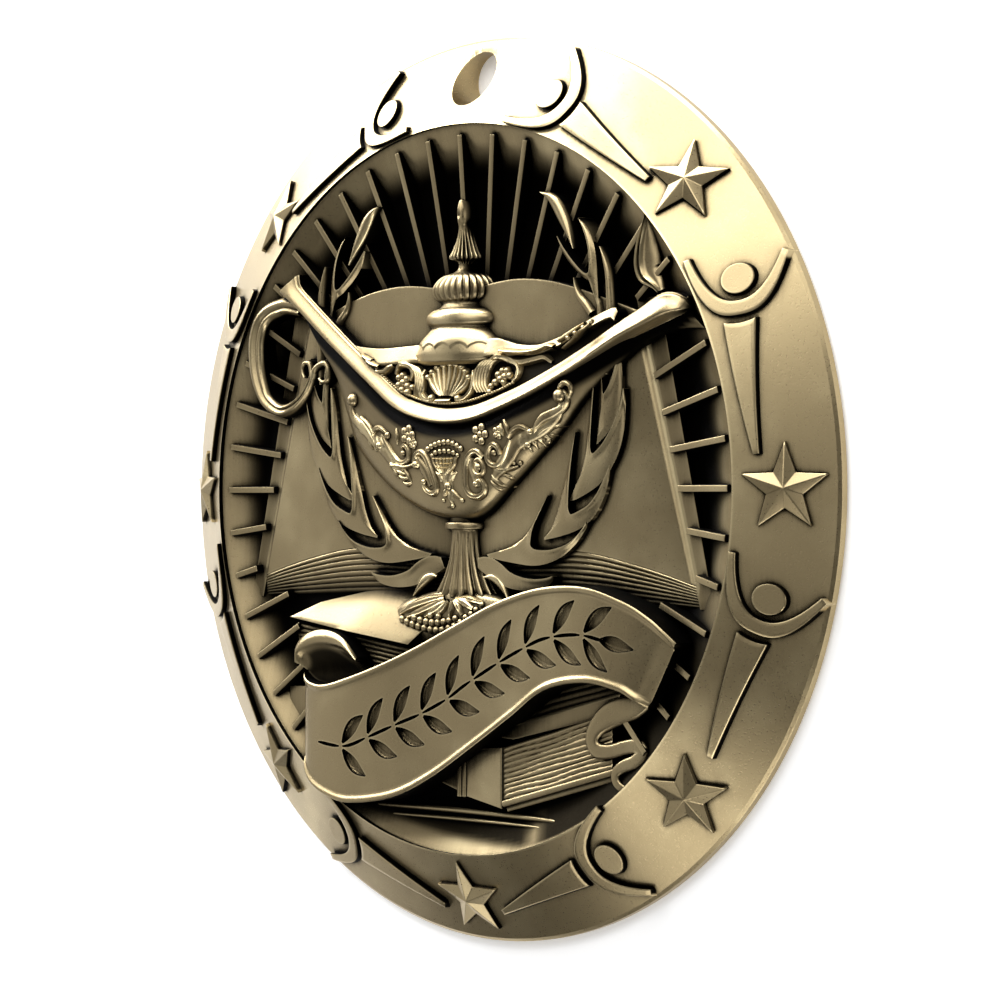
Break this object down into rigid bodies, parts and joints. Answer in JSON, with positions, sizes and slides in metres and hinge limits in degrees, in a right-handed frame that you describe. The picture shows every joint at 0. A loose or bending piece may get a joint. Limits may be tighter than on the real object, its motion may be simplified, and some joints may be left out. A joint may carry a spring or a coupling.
{
  "type": "academic medallion",
  "caption": "Round cast award medallion with a sloping rim of stars and figures round a lamp, laurel, open book and banner in relief, with a hanging hole.",
  "frame": {"origin": "centre of the disc on the plane of the raised border round its back", "axes": "+Z out of the face, +Y from the centre to the hanging hole, +X to the right of the face as it is read"},
  "size_m": [0.076, 0.076, 0.0067],
  "materials": {
    "antique_bronze": "antique bronze plating on a zinc casting, darkened in the recesses and relieved to satin on the high points"
  },
  "bodies": {
    "root": {"medallion": "antique_bronze"}
  },
  "joints": []
}
